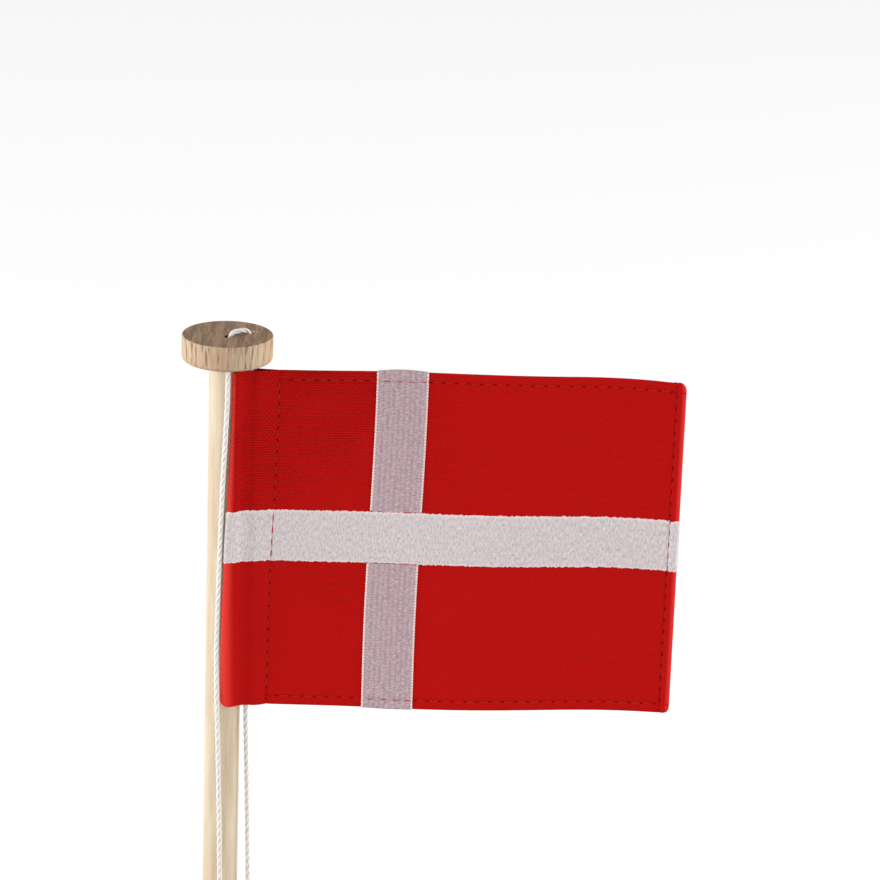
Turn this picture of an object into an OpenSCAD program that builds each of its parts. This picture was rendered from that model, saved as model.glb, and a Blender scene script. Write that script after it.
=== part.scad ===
// Table flag: a hemmed cloth flag with an embroidered Nordic cross, threaded on a cord halyard
// that runs over the truck of a wooden pole. The origin is on the pole's axis, at the base's
// underside. The flag flies towards +X, and the side with the front strand faces -Y.

/* [Base] */
// Diameter of the turned base
base_d = 96; // [70:1:140]
// Height of the base
base_h = 18; // [16:0.5:30]
// Rounding of the base's upper edge
base_top_r = 4; // [1:0.5:6]
// Rounding of the base's lower edge
base_foot_r = 1; // [0.5:0.25:2]
// Width of the groove in the underside, which joins the cord's holes and holds the knot
groove_w = 9; // [6:0.5:12]
// Depth of that groove
groove_h = 6; // [5.5:0.5:6.5]

/* [Pole] */
// Diameter of the pole
pole_d = 12; // [10:0.5:12.5]
// Height of the whole object without the cord on top
total_h = 390; // [380:1:420]
// Depth of the pole's seat in the base
seat_depth = 9; // [6:0.5:9.5]
// Diameter of the tenon that carries the truck
tenon_d = 8; // [5:0.5:9]
// Length of that tenon
tenon_l = 5; // [3:0.5:6]

/* [Truck] */
// Diameter of the truck, the disc on top of the pole
truck_d = 30; // [26:0.5:40]
// Thickness of the truck
truck_h = 8.8; // [8:0.2:12]
// How far the truck's centre lies in front of the pole's axis
truck_shift = 5.2; // [4:0.2:6]
// Rounding of the truck's lower edge
truck_foot_r = 1.8; // [0.5:0.1:2.5]
// Rounding of the truck's upper edge
truck_top_r = 0.6; // [0.3:0.1:1.5]

/* [Halyard] */
// Diameter of the laid cord
cord_d = 1.7; // [1:0.1:1.9]
// Diameter of the holes that the cord runs through
hole_d = 2.8; // [2.2:0.1:3]
// Diameter of the knot that joins the cord's ends
knot_d = 3.8; // [3:0.1:4.4]

/* [Flag] */
// Width of the hemmed flag, from hoist to fly
flag_w = 150; // [120:1:180]
// Height of the hemmed flag
flag_h = 118.5; // [100:0.5:130]
// Gap between the truck and the flag's top edge
flag_drop = 3.2; // [2:0.1:8]
// Thickness of one layer of the cloth
cloth_t = 0.4; // [0.3:0.05:0.45]
// Width of the folded hems
hem_w = 4; // [2:0.5:8]
// Width of the hoist sleeve, from its fold to its seam
sleeve_w = 15; // [14.5:0.5:22]
// How far the foot of the hoist fold leans towards the pole
hoist_lean = 2.5; // [0:0.1:2.6]
// Height of the cloth's gentle waves
wave_h = 1.1; // [0:0.1:4]
// Length of one wave
wave_l = 112; // [80:1:200]

/* [Cross] */
// Width of the bar that lies across the flag
bar_across_w = 18.2; // [10:0.2:26]
// Distance from the flag's top edge to the middle of that bar
bar_from_top = 58; // [45:0.5:62]
// Width of the upright bar
bar_upright_w = 17.2; // [10:0.2:26]
// Distance from the hoist fold to the upright bar
bar_from_hoist = 47.5; // [30:0.5:60]
// Thickness that the embroidery stands proud on each side
bar_t = 0.3; // [0.2:0.05:0.35]

/* [Stitching] */
// Thickness of the sewing thread
thread_d = 0.3; // [0.2:0.05:0.5]
// Length of one stitch
stitch_l = 3; // [1.5:0.1:3.5]
// Distance from one stitch to the next
stitch_pitch = 4.2; // [3.8:0.1:6]
// Distance from the flag's edge to the row that holds a hem
stitch_inset = 3; // [1.5:0.1:3.5]

/* [Hidden] */
$fn = 96;

// Clearances: the pole in its seats, the cloth beside pole and cord, the embroidery on the cloth
seat_gap = 0.05;
tenon_end_gap = 0.3;
cloth_gap = 0.25;
layer_gap = 0.2;
skin_gap = 0.04;
// How far a cut runs past the face that it opens
cut_past = 1;
// How wide and how deep the rims of the cord's holes are eased
hole_ease_w = 1.1;
hole_ease_h = 1.6;
// How much wider than the groove the pockets at its two ends are
pocket_wider = 2;
// Steps in a quarter of a rounded edge, and sides of the small round forms
edge_steps = 8;
small_sides = 48;

// Heights that the pieces share
pole_foot_z = base_h - seat_depth;
truck_z = total_h - truck_h;
flag_top = truck_z - flag_drop;

// The places of the cord's holes, in plan. The taut cord lies at the inner sides of the truck's two.
truck_front_hole = [0, -7.6];
truck_side_hole = [8, -2.9];
sleeve_cord = [7.6, -3.1];
base_front_hole = [2, -11.5];
base_side_hole = [10.6, -3.1];

// The halyard's route: from the knot up through the base, over the truck, and down through the sleeve
// and the base to the knot. The heights of the middle part are counted from the pole's top.
route_up = [
    [4.9, -8.8, 2.6], [4.3, -9.4, 2.6], [3.5, -10.2, 3.1], [2.7, -10.9, 4.2], [2.15, -11.35, 5.8],
    [2, -11.5, 8], [2, -11.5, 18]];
route_over = [
    [0, -9.4, -190], [-0.35, -9.1, -173], [-0.8, -8.8, -158], [-1.2, -8.5, -144],
    [-1.65, -8, -133], [-1.95, -7.4, -123], [-2.15, -7, -110], [-1.85, -6.9, -93],
    [-1.4, -7, -71], [-0.8, -7.1, -50], [-0.2, -7.2, -36], [0.3, -7.4, -20], [0.4, -7.4, -10],
    [0.4, -7.4, -0.7], [0.5, -7.3, 0], [0.9, -7.1, 0.6], [1.4, -6.8, 1.1], [2, -6.4, 1.2],
    [4, -5.25, 1.3], [6, -4.1, 1.2], [6.6, -3.7, 1.1], [7.1, -3.4, 0.6], [7.5, -3.2, 0],
    [7.6, -3.1, -0.7], [7.6, -3.1, -10], [7.6, -3.1, -50], [7.7, -3.1, -90], [7.85, -3.1, -128],
    [8.2, -3.1, -143], [8.7, -3.1, -159], [9.1, -3.1, -174], [9.5, -3.1, -190]];
route_down = [
    [10.6, -3.1, 18], [10.6, -3.1, 8], [10.45, -3.25, 5.8], [9.9, -3.8, 4.2], [9.1, -4.6, 3.1],
    [8.3, -5.4, 2.6], [7.7, -6, 2.6]];
halyard_route = concat(route_up, [for (p = route_over) p + [0, 0, total_h]], route_down);

// Where the knot lies, between the ends of the route
knot_start = halyard_route[0];
knot_end = halyard_route[len(halyard_route) - 1];

// A quarter circle of points around a centre, from one angle to the other
function quarter(c, r, a0, a1) =
    [for (i = [0 : edge_steps]) let (a = a0 + (a1 - a0) * i / edge_steps) c + r * [cos(a), sin(a)]];

// A value that runs smoothly from 0 to 1 as t does
function ease(t) = (1 - cos(180 * min(max(t, 0), 1))) / 2;

// The turned form of a disc that stands on z = 0
module turned_disc(d, h, foot_r, top_r) {
    rotate_extrude()
        polygon(concat([[0, 0]],
                       quarter([d / 2 - foot_r, foot_r], foot_r, -90, 0),
                       quarter([d / 2 - top_r, h - top_r], top_r, 0, 90),
                       [[0, h]]));
}

// A hole for the cord from z0 to z1, with its lower or upper rim eased
module cord_hole(place, z0, z1, ease_low, ease_high) {
    translate([place.x, place.y, 0]) {
        translate([0, 0, z0 - cut_past]) cylinder(d = hole_d, h = z1 - z0 + 2 * cut_past, $fn = small_sides);
        if (ease_low)
            translate([0, 0, z0])
                cylinder(d1 = hole_d + 2 * hole_ease_w, d2 = hole_d, h = hole_ease_h, $fn = small_sides);
        if (ease_high)
            translate([0, 0, z1 - hole_ease_w / 2])
                cylinder(d1 = hole_d, d2 = hole_d + hole_ease_w, h = hole_ease_w / 2, $fn = small_sides);
    }
}

// The groove between the base's two cord holes, with a round pocket at each end
module base_groove() {
    run = base_side_hole - base_front_hole;
    deep = groove_h + cut_past;
    // The groove itself starts and ends just clear of the holes' eased rims
    end = hole_d / 2 + hole_ease_w + seat_gap;
    translate([base_front_hole.x, base_front_hole.y, -cut_past]) {
        rotate([0, 0, atan2(run.y, run.x)])
            translate([end, -groove_w / 2, 0]) cube([norm(run) - 2 * end, groove_w, deep]);
        cylinder(d = groove_w + pocket_wider, h = deep);
        translate([run.x, run.y, 0]) cylinder(d = groove_w + pocket_wider, h = deep);
    }
}

// The turned base, with the pole's blind seat, the groove below and the cord's two holes
module base() {
    color("#C9AD86")
        difference() {
            turned_disc(base_d, base_h, base_foot_r, base_top_r);
            translate([0, 0, pole_foot_z]) cylinder(d = pole_d + 2 * seat_gap, h = seat_depth + cut_past);
            base_groove();
            cord_hole(base_front_hole, groove_h, base_h, true, true);
            cord_hole(base_side_hole, groove_h, base_h, true, true);
        }
}

// The round pole, with the tenon at its top
module pole() {
    color("#DCC7A5") {
        translate([0, 0, pole_foot_z]) cylinder(d = pole_d, h = truck_z - pole_foot_z);
        translate([0, 0, truck_z]) cylinder(d = tenon_d, h = tenon_l);
    }
}

// The truck: a disc on the pole's tenon, off centre, so that the cord's holes clear the pole
module truck() {
    color("#B3946E")
        difference() {
            translate([0, -truck_shift, truck_z])
                turned_disc(truck_d, truck_h, truck_foot_r, truck_top_r);
            translate([0, 0, truck_z - cut_past])
                cylinder(d = tenon_d + 2 * seat_gap, h = tenon_l + tenon_end_gap + cut_past);
            cord_hole(truck_front_hole, truck_z, total_h, false, true);
            cord_hole(truck_side_hole, truck_z, total_h, false, true);
        }
}

// The direction of a route at point i
function route_dir(p, i) =
    let (a = p[max(i - 1, 0)], b = p[min(i + 1, len(p) - 1)]) (b - a) / norm(b - a);

// The side direction of a ring, always across one fixed direction, so that no ring twists
across_strands = [0.6, -0.8, 0.02];
function ring_side(t) = let (n = cross(t, across_strands)) n / norm(n);

// A tube of eight sides, swept along the points of a route
module swept_cord(p, d) {
    sides = 8;
    rings = [for (i = [0 : len(p) - 1])
        let (t = route_dir(p, i), e = ring_side(t), f = cross(t, e))
            for (j = [0 : sides - 1]) p[i] + d / 2 * (cos(360 * j / sides) * e + sin(360 * j / sides) * f)];
    last = (len(p) - 1) * sides;
    polyhedron(rings, concat(
        [[for (j = [0 : sides - 1]) j]],
        [for (i = [0 : len(p) - 2], j = [0 : sides - 1])
            let (a = i * sides + j, b = i * sides + (j + 1) % sides) [b, a, a + sides, b + sides]],
        [[for (j = [sides - 1 : -1 : 0]) last + j]]));
}

// The halyard: one laid cord, whose two ends meet in the knot under the base
module halyard() {
    color("#EFE9DF") swept_cord(halyard_route, cord_d);
}

// The knot that joins the halyard's ends, in the base's groove
module halyard_knot() {
    axis = knot_end - knot_start;
    half_l = norm(axis) / 2;
    bulge = (knot_d - cord_d) / 2;
    color("#E6DFD3")
        translate((knot_start + knot_end) / 2)
            rotate([0, 90, atan2(axis.y, axis.x)])
                rotate_extrude($fn = small_sides)
                    polygon(concat([[0, -half_l]],
                                   [for (a = [-90 : 30 : 90]) [cord_d / 2 + bulge * cos(a), half_l * sin(a)]],
                                   [[0, half_l]]));
}

// The flag's surface: u runs from the hoist fold to the fly, s from the top edge (0) to the foot (1)
hoist_x = 1.7;
sheet_y0 = sleeve_cord.y;
// The share of the height at which the hoist fold stops leaning
lean_end = 0.85;
// The waves start at the seam, grow over this width, and turn by this angle from top to foot
wave_start = 50;
wave_turn = 70;
// The fly's upper corner hangs lower by fly_drop, from this share of the width on
fly_drop = 2.2;
drop_from = 0.79;
// The foot's edge sags between the two corners, most near its middle
foot_sag = 1;
sag_arc = 163;
function sheet_x(u, s) =
    hoist_x + u - hoist_lean * ease(s / lean_end) * (1 - pow(u / flag_w, 2));
function sheet_y(u, s) =
    sheet_y0
    + wave_h * sin(360 * (u - sleeve_w) / wave_l + wave_turn * s) * ease((u - sleeve_w) / wave_start);
function sheet_z(u, s) =
    flag_top - s * flag_h
    - (1 - s) * fly_drop * pow(max(0, u / flag_w - drop_from) / (1 - drop_from), 2)
    - s * foot_sag * sin(sag_arc * u / flag_w);
function sheet_point(u, s, y) = [sheet_x(u, s), y, sheet_z(u, s)];

// How far the folded hems stand out behind the first layer
hem_edge = hem_w + 0.01;
function hem_t(u, s) =
    u > flag_w - hem_edge || s * flag_h < hem_edge || s * flag_h > flag_h - hem_edge ? 2 * cloth_t : 0;
function front_y(u, s, skin) = sheet_y(u, s) - cloth_t / 2 - skin;
function back_y(u, s, skin) = sheet_y(u, s) + cloth_t / 2 + hem_t(u, s) + skin;

// The middles of the sleeve's two layers, in plan, from the seam to the fold. The back layer lies
// round the pole, both pass the cord, and the pocket is wide enough for the cord's lower stretch.
layer_step = cloth_t + layer_gap;
fold_r = layer_step / 2;
wrap_r = pole_d / 2 + cloth_gap + bar_t + skin_gap + cloth_t / 2;
cord_room = cord_d / 2 + cloth_gap + cloth_t / 2 + 0.05;
// Where the pocket begins to open beyond the cord's lowest place, and how open it is there
pocket_end = base_side_hole.x + 0.9 * cord_room;
pocket_open = 0.8;
// How far past the cord's upper stretch the layers stay parallel
past_top = 0.3;
// Where each layer meets its arc round the pole, in degrees from +X, and the steps from there
back_meets = -18;
front_meets = -48;
meet_step = 12;
arc_steps = 6;
function on_arc(r, a) = r * [cos(a), sin(a)];
function fold_angle(s) = -acos((sheet_x(0, s) + fold_r + cloth_t / 2) / (wrap_r + fold_r));
function fold_point(s, turn) = on_arc(wrap_r + fold_r, fold_angle(s)) + on_arc(fold_r, fold_angle(s) + turn);

// A smooth line through points, with a few steps between each two
line_steps = 3;
function blend(a, b, c, d, t) =
    b + t * (c - a) / 2 + t * t * (a - 2.5 * b + 2 * c - d / 2) + t * t * t * (1.5 * (b - c) + (d - a) / 2);
function smooth_line(p) = concat(
    [for (i = [0 : len(p) - 2], k = [0 : line_steps - 1])
        blend(p[max(i - 1, 0)], p[i], p[i + 1], p[min(i + 2, len(p) - 1)], k / line_steps)],
    [p[len(p) - 1]]);
function offset_line(p, d) =
    [for (i = [0 : len(p) - 1])
        let (t = p[min(i + 1, len(p) - 1)] - p[max(i - 1, 0)]) p[i] + d / norm(t) * [-t.y, t.x]];

// The line of a layer: past the cord, onto the arc of radius r at the angle meets, and round the fold
function layer_line(s, seam_y, past_cord, r, meets, turns) = concat(
    smooth_line([[sheet_x(sleeve_w, s), seam_y],
                 [pocket_end, sleeve_cord.y + pocket_open * past_cord],
                 [base_side_hole.x, sleeve_cord.y + past_cord],
                 [sleeve_cord.x + past_top, sleeve_cord.y + past_cord],
                 on_arc(r, meets), on_arc(r, meets - meet_step)]),
    [for (i = [1 : arc_steps])
        on_arc(r, meets - meet_step + (fold_angle(s) - meets + meet_step) * i / arc_steps)],
    [for (turn = turns) fold_point(s, turn)]);
function back_line(s) =
    layer_line(s, sheet_y0 + cloth_t, cord_room, wrap_r, back_meets, [225, 262]);
function front_line(s) =
    layer_line(s, sheet_y0, -cord_room, wrap_r + layer_step, front_meets, [315, 278]);

// One sleeve layer as points in space: side -1 is the front layer, and 1 the back layer
function sleeve_layer(s, side, d) =
    [for (q = offset_line(side < 0 ? front_line(s) : back_line(s), -side * d))
        [q.x, q.y, sheet_z(max(q.x - sheet_x(0, s), 0), s)]];

// The columns of the flat part, from the fly to the seam, and the rows from top to foot
column_count = 18;
row_count = 16;
hem_step = 0.2;
seam_room = 2;
flat_part = flag_w - hem_w - sleeve_w - seam_room;
flat_columns = concat([flag_w, flag_w - hem_w, flag_w - hem_w - hem_step],
                      [for (i = [1 : column_count]) flag_w - hem_w - flat_part * i / column_count]);
rows = concat([0, hem_w, hem_w + hem_step],
              [for (i = [1 : row_count - 1]) hem_w + (flag_h - 2 * hem_w) * i / row_count],
              [flag_h - hem_w - hem_step, flag_h - hem_w, flag_h]) / flag_h;

// The front and the back of the whole flag at one row, each from the fly to the fold
function past_fly(u, skin) = [u == flag_w ? skin : 0, 0, 0];
function flag_front(s, skin) = concat(
    [for (u = flat_columns) sheet_point(u, s, front_y(u, s, skin)) + past_fly(u, skin)],
    sleeve_layer(s, -1, cloth_t / 2 + skin));
function flag_back(s, skin) = concat(
    [for (u = flat_columns) sheet_point(u, s, back_y(u, s, skin)) + past_fly(u, skin)],
    sleeve_layer(s, 1, cloth_t / 2 + skin));

// A solid between the front and the back lines of a row, carried from one row to the next
function quad(a, b, c, d) = [[a, b, c], [a, c, d]];
module lofted(fronts, backs) {
    n = len(fronts[0]);
    m = len(fronts);
    points = [for (r = [0 : m - 1], side = [0, 1], i = [0 : n - 1]) side == 0 ? fronts[r][i] : backs[r][i]];
    function at(r, side, i) = (2 * r + side) * n + i;
    polyhedron(points, concat(
        [for (r = [0 : m - 2], i = [0 : n - 2]) each concat(
            quad(at(r, 0, i), at(r + 1, 0, i), at(r + 1, 0, i + 1), at(r, 0, i + 1)),
            quad(at(r, 1, i), at(r, 1, i + 1), at(r + 1, 1, i + 1), at(r + 1, 1, i)))],
        [for (r = [0 : m - 2]) each concat(
            quad(at(r, 1, 0), at(r + 1, 1, 0), at(r + 1, 0, 0), at(r, 0, 0)),
            quad(at(r, 0, n - 1), at(r + 1, 0, n - 1), at(r + 1, 1, n - 1), at(r, 1, n - 1)))],
        [for (i = [0 : n - 2]) each concat(
            quad(at(0, 1, i), at(0, 0, i), at(0, 0, i + 1), at(0, 1, i + 1)),
            quad(at(m - 1, 0, i), at(m - 1, 1, i), at(m - 1, 1, i + 1), at(m - 1, 0, i + 1)))]));
}

// The hollow of the sleeve, past the flag at both ends
module sleeve_hollow() {
    past = cut_past / flag_h;
    all_rows = concat([-past], rows, [1 + past]);
    function inner(s, side) =
        let (p = sleeve_layer(s, side, -cloth_t / 2)) [for (i = [2 : len(p) - 1]) p[i]];
    lofted([for (s = all_rows) inner(s, -1)], [for (s = all_rows) inner(s, 1)]);
}

// The cloth: one sheet with folded hems, whose hoist edge is folded back and sewn as a sleeve
module flag_cloth() {
    color("#B31412")
        difference() {
            lofted([for (s = rows) flag_front(s, 0)], [for (s = rows) flag_back(s, 0)]);
            sleeve_hollow();
        }
}

// The upper and lower edges of the bar across, as shares of the flag's height
across_top = (bar_from_top - bar_across_w / 2) / flag_h;
across_foot = across_top + bar_across_w / flag_h;

// The embroidered bar that lies across the flag and is folded round its hoist and fly edges
module cross_bar_across() {
    past = cut_past / flag_h;
    inside_rows = [for (s = rows) if (s > across_top && s < across_foot) s];
    band = concat([across_top], inside_rows, [across_foot]);
    tall = concat([across_top - past], band, [across_foot + past]);
    color("#DCD3D1")
        difference() {
            lofted([for (s = band) flag_front(s, skin_gap + bar_t)],
                   [for (s = band) flag_back(s, skin_gap + bar_t)]);
            lofted([for (s = tall) flag_front(s, skin_gap)], [for (s = tall) flag_back(s, skin_gap)]);
        }
}

// One stretch of the upright bar between two rows, folded round the flag's edge at its far end
module upright_stretch(s0, s1) {
    u0 = bar_from_hoist;
    u1 = u0 + bar_upright_w;
    inside_rows = [for (s = rows) if (s > max(s0, 0) && s < min(s1, 1)) s];
    past = cut_past / flag_h;
    wrap = (skin_gap + bar_t) / flag_h;
    at_top = s0 == 0;
    steps = 4;
    function line(s, side, skin, side_past) =
        let (a = min(max(s, 0), 1))
            [for (i = [0 : steps])
                let (u = u0 - side_past + (u1 - u0 + 2 * side_past) * (1 - i / steps))
                    sheet_point(u, s, side < 0 ? front_y(u, a, skin) : back_y(u, a, skin))];
    outer = concat([at_top ? s0 - wrap : s0], at_top ? [0] : [], inside_rows,
                   at_top ? [] : [1], [at_top ? s1 : s1 + wrap]);
    core = concat([at_top ? s0 - skin_gap / flag_h : s0 - past], at_top ? [] : [s0], at_top ? [0] : [],
                  inside_rows, at_top ? [s1] : [1], [at_top ? s1 + past : s1 + skin_gap / flag_h]);
    difference() {
        lofted([for (s = outer) line(s, -1, skin_gap + bar_t, 0)],
               [for (s = outer) line(s, 1, skin_gap + bar_t, 0)]);
        lofted([for (s = core) line(s, -1, skin_gap, cut_past)],
               [for (s = core) line(s, 1, skin_gap, cut_past)]);
    }
}

// The upright bar: embroidered above and below the bar across
module cross_bar_upright() {
    end_gap = 2 * skin_gap / flag_h;
    color("#C9B6BB") {
        upright_stretch(0, across_top - end_gap);
        upright_stretch(across_foot + end_gap, 1);
    }
}

// How far the embroidery lifts a stitch at this place
function within(x, low, high, past) = x > low - past && x < high + past;
function stitch_lift(u, s) =
    within(s, across_top, across_foot, stitch_l / flag_h)
    || within(u, bar_from_hoist, bar_from_hoist + bar_upright_w, stitch_l)
        ? skin_gap + bar_t : 0;

// One stitch on the front (-1) or the back (1), lying across (0) or upright (90)
module stitch(u, s, side, turn) {
    y = side < 0 ? front_y(u, s, stitch_lift(u, s)) : back_y(u, s, stitch_lift(u, s));
    slope = turn == 0
        ? atan2(sheet_y(u + stitch_l / 2, s) - sheet_y(u - stitch_l / 2, s), stitch_l) : 0;
    translate(sheet_point(u, s, y + side * (skin_gap + thread_d / 2)))
        rotate([0, turn, slope])
            cube([stitch_l, thread_d, thread_d], center = true);
}

// The sewing thread of the three hems, on both sides of the flag
module hem_thread() {
    first_u = sleeve_w + stitch_pitch;
    first_z = 1.5 * stitch_inset;
    across = floor((flag_w - stitch_inset - first_u) / stitch_pitch);
    down = floor((flag_h - 2 * first_z) / stitch_pitch);
    inset = stitch_inset / flag_h;
    color("#8E0E0C")
        for (side = [-1, 1]) {
            for (i = [0 : across - 1], s = [inset, 1 - inset])
                stitch(first_u + (i + 0.5) * stitch_pitch, s, side, 0);
            for (i = [0 : down - 1])
                stitch(flag_w - stitch_inset, (first_z + (i + 0.5) * stitch_pitch) / flag_h, side, 90);
        }
}

// The sewing thread of the sleeve's seam, on both sides of the flag
module sleeve_thread() {
    down = floor((flag_h - 2 * stitch_inset) / stitch_pitch);
    behind = cloth_t + skin_gap;
    seam_u = sleeve_w + 2 * thread_d;
    color("#8E0E0C")
        for (side = [-1, 1], i = [0 : down - 1]) {
            s = (stitch_inset + (i + 0.5) * stitch_pitch) / flag_h;
            translate([0, side < 0 ? 0 : behind, 0]) stitch(seam_u, s, side, 90);
        }
}

base();
pole();
truck();
halyard();
halyard_knot();
flag_cloth();
cross_bar_across();
cross_bar_upright();
hem_thread();
sleeve_thread();
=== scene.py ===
"""A table flag: red cotton with an embroidered white cross, on a cord halyard over a wooden pole."""

import math
from functools import partial

import bpy
import numpy as np
from mathutils import Matrix


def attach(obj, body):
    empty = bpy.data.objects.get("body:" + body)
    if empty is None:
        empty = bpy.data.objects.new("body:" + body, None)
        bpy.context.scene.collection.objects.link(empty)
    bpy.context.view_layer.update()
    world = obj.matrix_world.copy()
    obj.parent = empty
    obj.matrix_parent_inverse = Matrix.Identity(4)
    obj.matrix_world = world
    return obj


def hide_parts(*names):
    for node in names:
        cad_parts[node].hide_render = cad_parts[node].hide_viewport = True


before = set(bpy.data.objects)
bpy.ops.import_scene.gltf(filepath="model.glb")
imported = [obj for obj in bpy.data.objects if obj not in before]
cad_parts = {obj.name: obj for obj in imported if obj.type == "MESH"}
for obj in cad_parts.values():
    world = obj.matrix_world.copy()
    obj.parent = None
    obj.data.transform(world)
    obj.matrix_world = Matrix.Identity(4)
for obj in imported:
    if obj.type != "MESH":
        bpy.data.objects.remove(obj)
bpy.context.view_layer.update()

# The camera stands a good metre in front of the flag and a little above it, with a long lens
# and a slight roll, as the photograph was taken.
MM = 0.001
eye = np.array([21.717, -1158.882, 746.340]) * MM
yaw, pitch, roll = (math.radians(a) for a in (2.426, 18.726, 1.985))
ahead = np.array([math.sin(yaw) * math.cos(pitch), math.cos(yaw) * math.cos(pitch), -math.sin(pitch)])
level = np.array([math.cos(yaw), -math.sin(yaw), 0])
above = np.cross(level, ahead)
right = math.cos(roll) * level + math.sin(roll) * above
upward = -math.sin(roll) * level + math.cos(roll) * above


def placed(side, up, back, place):
    """The matrix of an object whose own x, y and z axes point to side, up and back."""
    return Matrix([[side[k], up[k], back[k], place[k]] for k in range(3)] + [[0, 0, 0, 1]])


view = bpy.data.objects.new("view", bpy.data.cameras.new("view"))
view.data.sensor_width = 36
view.data.lens = 150.9
view.data.clip_start, view.data.clip_end = 0.05, 20
view.matrix_world = placed(right, upward, -ahead, eye)
bpy.context.scene.collection.objects.link(view)
bpy.context.scene.camera = view

# The halyard: one cord of three bleached cotton strands laid together. It runs from the knot under
# the base up the pole's front, over the truck through its two holes, and down inside the flag's
# sleeve. The heights of the middle part are counted from the pole's top.
cord_r = 0.85 * MM
lay_length, strand_n = 8.4 * MM, 3
total_h = 390
route_up = np.array([
    [4.9, -8.8, 2.6], [4.3, -9.4, 2.6], [3.5, -10.2, 3.1], [2.7, -10.9, 4.2], [2.15, -11.35, 5.8],
    [2, -11.5, 8], [2, -11.5, 18]])
route_over = np.array([
    [0, -9.4, -190], [-0.35, -9.1, -173], [-0.8, -8.8, -158], [-1.2, -8.5, -144],
    [-1.65, -8, -133], [-1.95, -7.4, -123], [-2.15, -7, -110], [-1.85, -6.9, -93],
    [-1.4, -7, -71], [-0.8, -7.1, -50], [-0.2, -7.2, -36], [0.3, -7.4, -20], [0.4, -7.4, -10],
    [0.8, -7.1, -1.4], [1, -7, -0.4], [1.3, -6.8, 0.3], [1.8, -6.5, 0.8], [2.4, -6.15, 1],
    [4, -5.25, 1.15], [5.6, -4.3, 1], [6.2, -3.95, 0.8], [6.7, -3.65, 0.3], [7, -3.5, -0.4],
    [7.2, -3.35, -1.4], [7.6, -3.1, -10], [7.6, -3.1, -50], [7.7, -3.1, -90], [7.85, -3.1, -128],
    [8.2, -3.1, -143], [8.7, -3.1, -159], [9.1, -3.1, -174], [9.5, -3.1, -190]])
route_down = np.array([
    [10.6, -3.1, 18], [10.6, -3.1, 8], [10.45, -3.25, 5.8], [9.9, -3.8, 4.2], [9.1, -4.6, 3.1],
    [8.3, -5.4, 2.6], [7.7, -6, 2.6]])
halyard_route = np.concatenate([route_up, route_over + [0, 0, total_h], route_down]) * MM


def path_length(points):
    """The length along a row of points, from 0 at the first."""
    steps = np.diff(points.reshape(len(points), -1), axis=0)
    return np.r_[0, np.cumsum(np.linalg.norm(steps, axis=1))]


def smooth_line(points, spacing):
    """A cubic between each two points, with the slope at each that a parabola through it and its
    neighbours has, sampled evenly. Each point may itself be an array."""
    flat = points.reshape(len(points), -1)
    t = path_length(points)
    slope = np.gradient(flat, t, axis=0)
    at = np.linspace(0, t[-1], round(t[-1] / spacing) + 1)
    i = np.clip(np.searchsorted(t, at, side="right") - 1, 0, len(t) - 2)
    h = (t[i + 1] - t[i])[:, None]
    w = (at - t[i])[:, None] / h
    line = ((1 + 2 * w) * (1 - w) ** 2 * flat[i] + w * (1 - w) ** 2 * h * slope[i]
            + w**2 * (3 - 2 * w) * flat[i + 1] + w**2 * (w - 1) * h * slope[i + 1])
    return line.reshape(len(at), *points.shape[1:])


def grid_piece(name, points, uv=None, round_columns=False, round_rows=False, capped=False):
    """A mesh of quads over grids of points of shape (..., rows, columns, 3). Rows or columns may
    close into a ring, whose UV map goes on past the last one, and capped closes the first and the
    last row with a face each."""
    rows, columns = points.shape[-3:-1]
    index = np.arange(points.size // 3).reshape(-1, rows, columns)
    flat = np.zeros((*index.shape, 2)) if uv is None else uv.reshape(*index.shape, 2)
    wide, wide_uv = index, flat
    for closes, axis in ((round_columns, 2), (round_rows, 1)):
        if closes:
            last, before = (np.take(wide_uv, [k], axis=axis) for k in (-1, -2))
            wide = np.concatenate([wide, np.take(wide, [0], axis=axis)], axis=axis)
            wide_uv = np.concatenate([wide_uv, 2 * last - before], axis=axis)
    low, high = slice(None, -1), slice(1, None)
    corners = ((low, low), (low, high), (high, high), (high, low))
    loops = np.stack([wide[:, a, b] for a, b in corners], axis=-1).reshape(-1)
    loop_uv = np.stack([wide_uv[:, a, b] for a, b in corners], axis=-2).reshape(-1, 2)
    sizes = np.full(len(loops) // 4, 4)
    if capped:
        ends = np.concatenate([index[:, 0, ::-1], index[:, -1]])
        loops = np.concatenate([loops, ends.reshape(-1)])
        loop_uv = np.concatenate([loop_uv, flat.reshape(-1, 2)[ends.reshape(-1)]])
        sizes = np.concatenate([sizes, np.full(len(ends), columns)])
    mesh = bpy.data.meshes.new(name)
    mesh.vertices.add(points.size // 3)
    mesh.vertices.foreach_set("co", points.reshape(-1).astype(np.float32))
    mesh.loops.add(len(loops))
    mesh.loops.foreach_set("vertex_index", loops.astype(np.int32))
    mesh.polygons.add(len(sizes))
    mesh.polygons.foreach_set("loop_start", np.r_[0, np.cumsum(sizes)[:-1]].astype(np.int32))
    mesh.polygons.foreach_set("use_smooth", np.ones(len(sizes), bool))
    mesh.update(calc_edges=True)
    if uv is not None:
        layer = mesh.uv_layers.new(name="UVMap")
        layer.data.foreach_set("uv", loop_uv.astype(np.float32).reshape(-1))
    mesh.validate()
    piece = bpy.data.objects.new(name, mesh)
    bpy.context.scene.collection.objects.link(piece)
    return piece


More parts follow.
